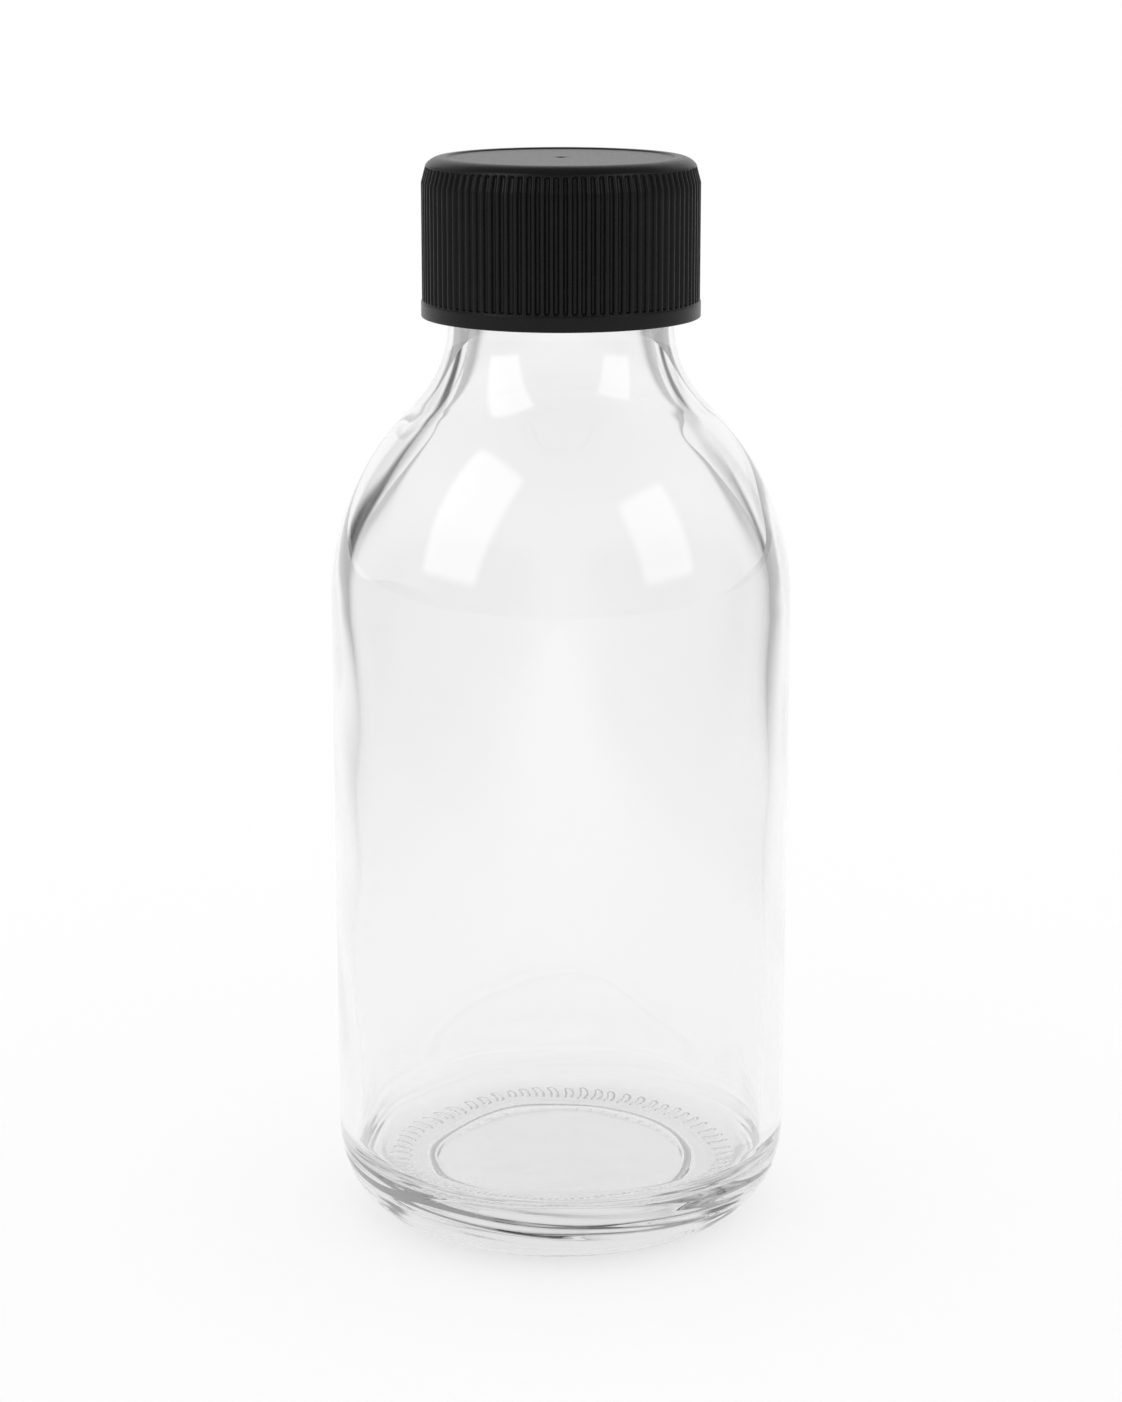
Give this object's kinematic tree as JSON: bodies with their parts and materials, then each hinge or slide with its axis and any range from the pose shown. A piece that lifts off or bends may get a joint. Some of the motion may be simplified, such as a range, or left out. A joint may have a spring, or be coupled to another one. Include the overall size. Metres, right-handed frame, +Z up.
{
  "type": "screw-cap glass bottle",
  "caption": "small round clear glass bottle with a rounded shoulder, short neck, thick grip-ringed base and a ribbed black plastic screw cap with a foam seal",
  "frame": {"origin": "centre of the bottle's base, on the plane that it stands on", "axes": "+Z up along the bottle's axis, through the middle of the cap; the bottle is round, and +X is where the thread on the glass starts"},
  "size_m": [0.051, 0.051, 0.1193],
  "materials": {
    "clear_glass": "clear, fire-polished, with the slight waviness of moulded glass",
    "black_plastic": "fine satin moulding texture, smoother on the rounded rim",
    "white_foam": "fine closed-cell polyethylene foam with a smooth skin"
  },
  "bodies": {
    "bottle": {"glass_bottle": "clear_glass"},
    "liner": {"cap_liner": "white_foam"},
    "cap": {"screw_cap": "black_plastic"}
  },
  "joints": [
    {"name": "cap_lift", "type": "slide", "parent": "bottle", "child": "liner", "axis": [0, 0, 1], "range_m": [0, 0.0255]},
    {"name": "cap_turn", "type": "hinge", "parent": "liner", "child": "cap", "pos_m": [0, 0, 0.11], "axis": [0, 0, 1], "range_deg": [0, 2160]}
  ],
  "couplings": [
    {"joint": "cap_lift", "follows": "cap_turn", "m_per_rad": 0.0006737}
  ]
}
